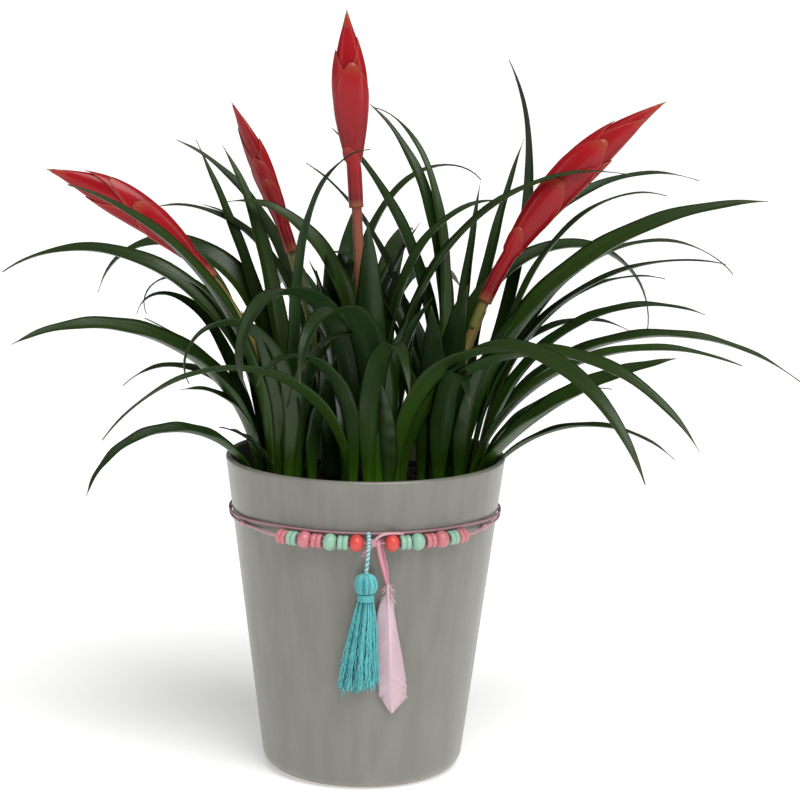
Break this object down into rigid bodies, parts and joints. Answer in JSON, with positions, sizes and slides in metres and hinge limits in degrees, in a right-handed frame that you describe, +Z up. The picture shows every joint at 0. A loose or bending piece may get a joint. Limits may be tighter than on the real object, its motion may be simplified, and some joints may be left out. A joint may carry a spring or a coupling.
{
  "type": "potted bromeliad",
  "caption": "Bromeliad rosettes with arching strap leaves and red flower swords in a tapered ceramic pot with a bead, tassel and feather garland.",
  "frame": {"origin": "middle of the flat underside of the ceramic pot", "axes": "+Z up the pot's axis, -Y the side with the tassel, +X to the right seen from that side"},
  "size_m": [0.4205, 0.3384, 0.3956],
  "materials": {
    "glaze": "warm grey satin glaze",
    "nursery_plastic": "thin black moulded plastic",
    "soil": null,
    "leaf": null,
    "inner_leaf": null,
    "flower_stem": "dark red flower stem",
    "bract": null,
    "coral_wood": "painted wood",
    "mint_wood": "painted wood",
    "pink_wood": "painted wood",
    "pink_cord": "waxed cotton cord",
    "tassel_cord": "twisted viscose cord",
    "tassel_thread": "shiny viscose thread",
    "ribbon": "narrow woven ribbon",
    "feather": "dyed feather"
  },
  "bodies": {
    "root": {"pot": "glaze", "nursery_pot": "nursery_plastic", "soil": "soil", "left_leaf_1": "leaf", "left_leaf_2": "leaf", "left_leaf_3": "leaf", "left_leaf_4": "leaf", "left_leaf_5": "leaf", "left_leaf_6": "leaf", "back_leaf_1": "leaf", "back_leaf_2": "leaf", "back_leaf_3": "leaf", "back_leaf_4": "leaf", "middle_leaf_1": "leaf", "middle_leaf_2": "leaf", "middle_leaf_3": "leaf", "middle_leaf_4": "leaf", "middle_leaf_5": "leaf", "right_leaf_1": "leaf", "right_leaf_2": "leaf", "right_leaf_3": "leaf", "right_leaf_4": "leaf", "right_leaf_5": "leaf", "right_leaf_6": "leaf", "right_leaf_7": "leaf", "left_heart": "inner_leaf", "back_heart": "inner_leaf", "middle_heart": "inner_leaf", "right_heart": "inner_leaf", "left_flower_stem": "flower_stem", "left_flower_bracts": "bract", "back_flower_stem": "flower_stem", "back_flower_bracts": "bract", "middle_flower_stem": "flower_stem", "middle_flower_bracts": "bract", "right_flower_stem": "flower_stem", "right_flower_bracts": "bract", "left_bead_1_coral": "coral_wood", "left_bead_2_mint": "mint_wood", "left_bead_3_mint": "mint_wood", "left_bead_4_pink": "pink_wood", "left_bead_5_pink": "pink_wood", "left_bead_6_mint": "mint_wood", "left_bead_7_pink": "pink_wood", "right_bead_1_coral": "coral_wood", "right_bead_2_mint": "mint_wood", "right_bead_3_mint": "mint_wood", "right_bead_4_pink": "pink_wood", "right_bead_5_pink": "pink_wood", "right_bead_6_mint": "mint_wood", "right_bead_7_pink": "pink_wood", "lower_cord": "pink_cord", "upper_cord": "pink_cord", "garland_knot": "pink_cord", "tassel_head": "tassel_thread", "tassel_binding": "tassel_thread", "tassel_skirt": "tassel_thread", "tassel_cord": "tassel_cord", "feather": "feather", "feather_ribbon": "ribbon"}
  },
  "joints": []
}
